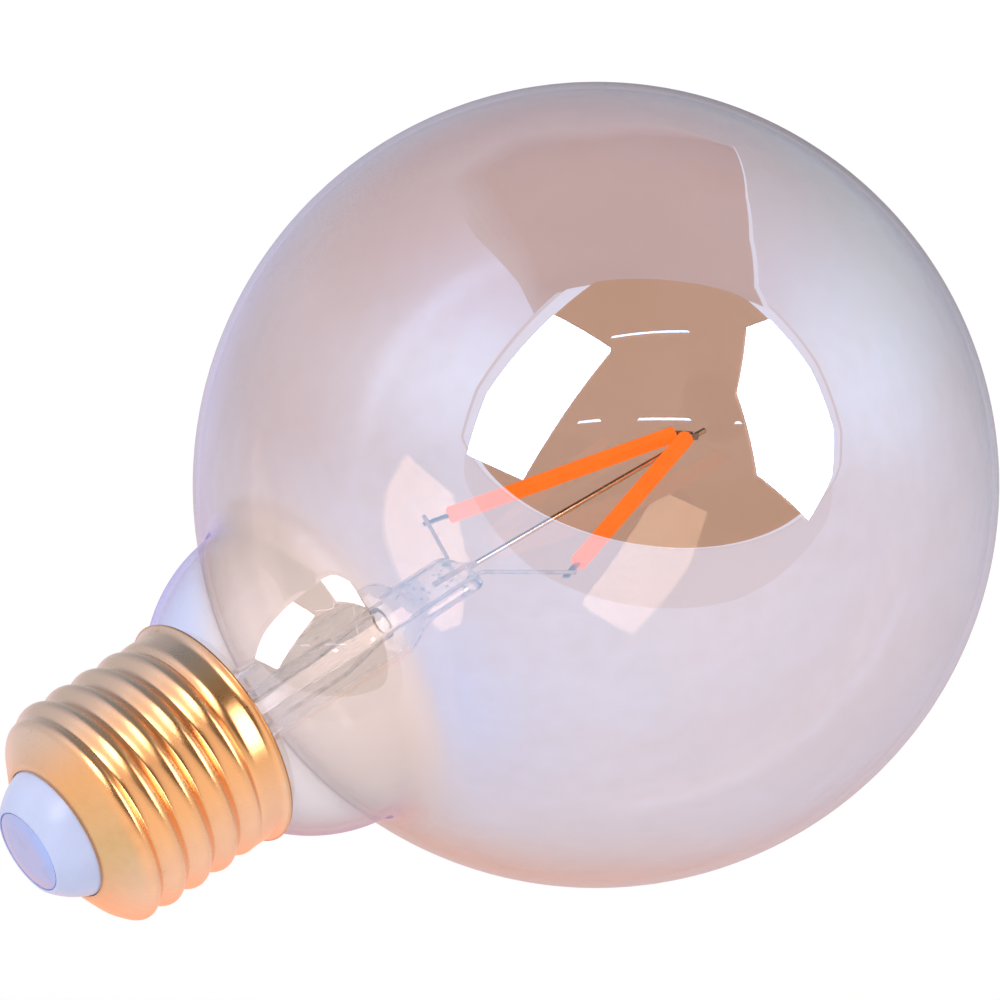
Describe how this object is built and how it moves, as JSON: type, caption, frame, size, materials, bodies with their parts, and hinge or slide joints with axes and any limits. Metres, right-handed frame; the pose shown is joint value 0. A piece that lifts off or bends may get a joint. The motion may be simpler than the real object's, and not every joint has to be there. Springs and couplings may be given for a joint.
{
  "type": "globe bulb",
  "caption": "Globe-shaped filament lamp: an amber-coated glass ball on a screw cap, with light rods hung in a V on a glass stem.",
  "frame": {"origin": "middle of the centre contact's face, at the top of the cap", "axes": "+Z along the bulb's axis, out of the cap into the lamp holder, so that the globe hangs down; the two light rods spread along X, and the post leans behind them towards +Y"},
  "size_m": [0.095, 0.095, 0.1324],
  "materials": {
    "amber_glass": "thin amber lustre coat on clear blown glass",
    "clear_glass": "clear drawn glass",
    "gold_brass": "bright gold-coloured rolled sheet",
    "pale_insulator": "smooth pale moulding",
    "contact_metal": "nickel-plated, lightly dulled",
    "basing_cement": "matt cured cement",
    "mount_wire": "drawn nickel wire",
    "phosphor_coat": "orange phosphor in silicone",
    "tab_steel": "stamped strip",
    "circuit_board": "lacquered laminate",
    "black_moulding": "moulded epoxy",
    "capacitor_sleeve": "shrunk sleeve",
    "resistor_coat": "lacquered body",
    "tinned_wire": "tinned copper wire"
  },
  "bodies": {
    "root": {"glass_globe": "amber_glass", "glass_stem": "clear_glass", "exhaust_tube": "clear_glass", "screw_shell": "gold_brass", "cap_insulator": "pale_insulator", "centre_contact": "contact_metal", "cap_cement": "basing_cement", "support_post": "mount_wire", "far_lead_wire": "mount_wire", "near_lead_wire": "mount_wire", "far_filament": "phosphor_coat", "near_filament": "phosphor_coat", "far_lower_tab": "tab_steel", "near_lower_tab": "tab_steel", "far_upper_tab": "tab_steel", "near_upper_tab": "tab_steel", "driver_board": "circuit_board", "bridge_rectifier": "black_moulding", "driver_chip": "black_moulding", "smoothing_capacitor": "capacitor_sleeve", "fuse_resistor": "resistor_coat", "shell_wire": "tinned_wire"}
  },
  "joints": []
}
